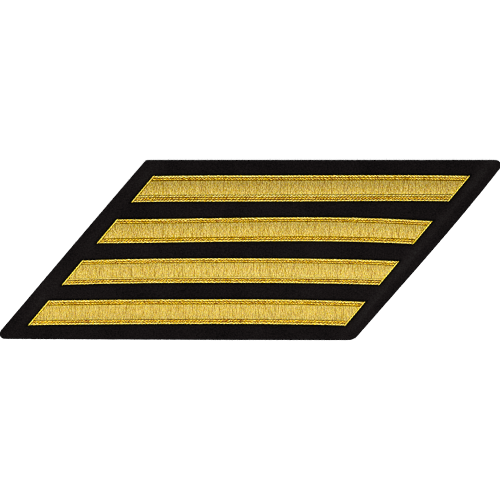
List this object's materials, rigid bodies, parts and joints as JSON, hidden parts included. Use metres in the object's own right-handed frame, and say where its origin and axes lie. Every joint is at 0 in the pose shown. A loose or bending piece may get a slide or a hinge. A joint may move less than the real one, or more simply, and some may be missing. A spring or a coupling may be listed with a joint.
{
  "type": "service stripe",
  "caption": "Slanted sleeve patch of black felted cloth with a stack of parallel gold braid service stripes, each edged with raised ribs.",
  "frame": {"origin": "centre of the back face", "axes": "+X along the stripes, +Y up the patch as it is pictured, +Z out of its face"},
  "size_m": [0.1957, 0.0702, 0.003],
  "materials": {
    "backing_cloth": "matt felted wool",
    "satin_thread": "satin gold thread, laid across the stripe",
    "outer_rib_thread": "pale gold twisted thread",
    "inner_rib_thread": "deep gold twisted thread",
    "end_rib_thread": "bright gold thread"
  },
  "bodies": {
    "root": {"backing": "backing_cloth", "stripe_1_satin_field": "satin_thread", "stripe_1_upper_outer_rib": "outer_rib_thread", "stripe_1_upper_inner_rib": "inner_rib_thread", "stripe_1_lower_third_rib": "satin_thread", "stripe_1_lower_inner_rib": "inner_rib_thread", "stripe_1_lower_outer_rib": "outer_rib_thread", "stripe_1_left_end_rib": "end_rib_thread", "stripe_1_right_end_rib": "end_rib_thread", "stripe_2_satin_field": "satin_thread", "stripe_2_upper_outer_rib": "outer_rib_thread", "stripe_2_upper_inner_rib": "inner_rib_thread", "stripe_2_lower_inner_rib": "inner_rib_thread", "stripe_2_lower_outer_rib": "outer_rib_thread", "stripe_2_left_end_rib": "end_rib_thread", "stripe_2_right_end_rib": "end_rib_thread", "stripe_3_satin_field": "satin_thread", "stripe_3_upper_outer_rib": "outer_rib_thread", "stripe_3_upper_inner_rib": "inner_rib_thread", "stripe_3_lower_third_rib": "satin_thread", "stripe_3_lower_inner_rib": "inner_rib_thread", "stripe_3_lower_outer_rib": "outer_rib_thread", "stripe_3_left_end_rib": "end_rib_thread", "stripe_3_right_end_rib": "end_rib_thread", "stripe_4_satin_field": "satin_thread", "stripe_4_upper_outer_rib": "outer_rib_thread", "stripe_4_upper_inner_rib": "inner_rib_thread", "stripe_4_lower_inner_rib": "inner_rib_thread", "stripe_4_lower_outer_rib": "outer_rib_thread", "stripe_4_left_end_rib": "end_rib_thread", "stripe_4_right_end_rib": "end_rib_thread"}
  },
  "joints": []
}
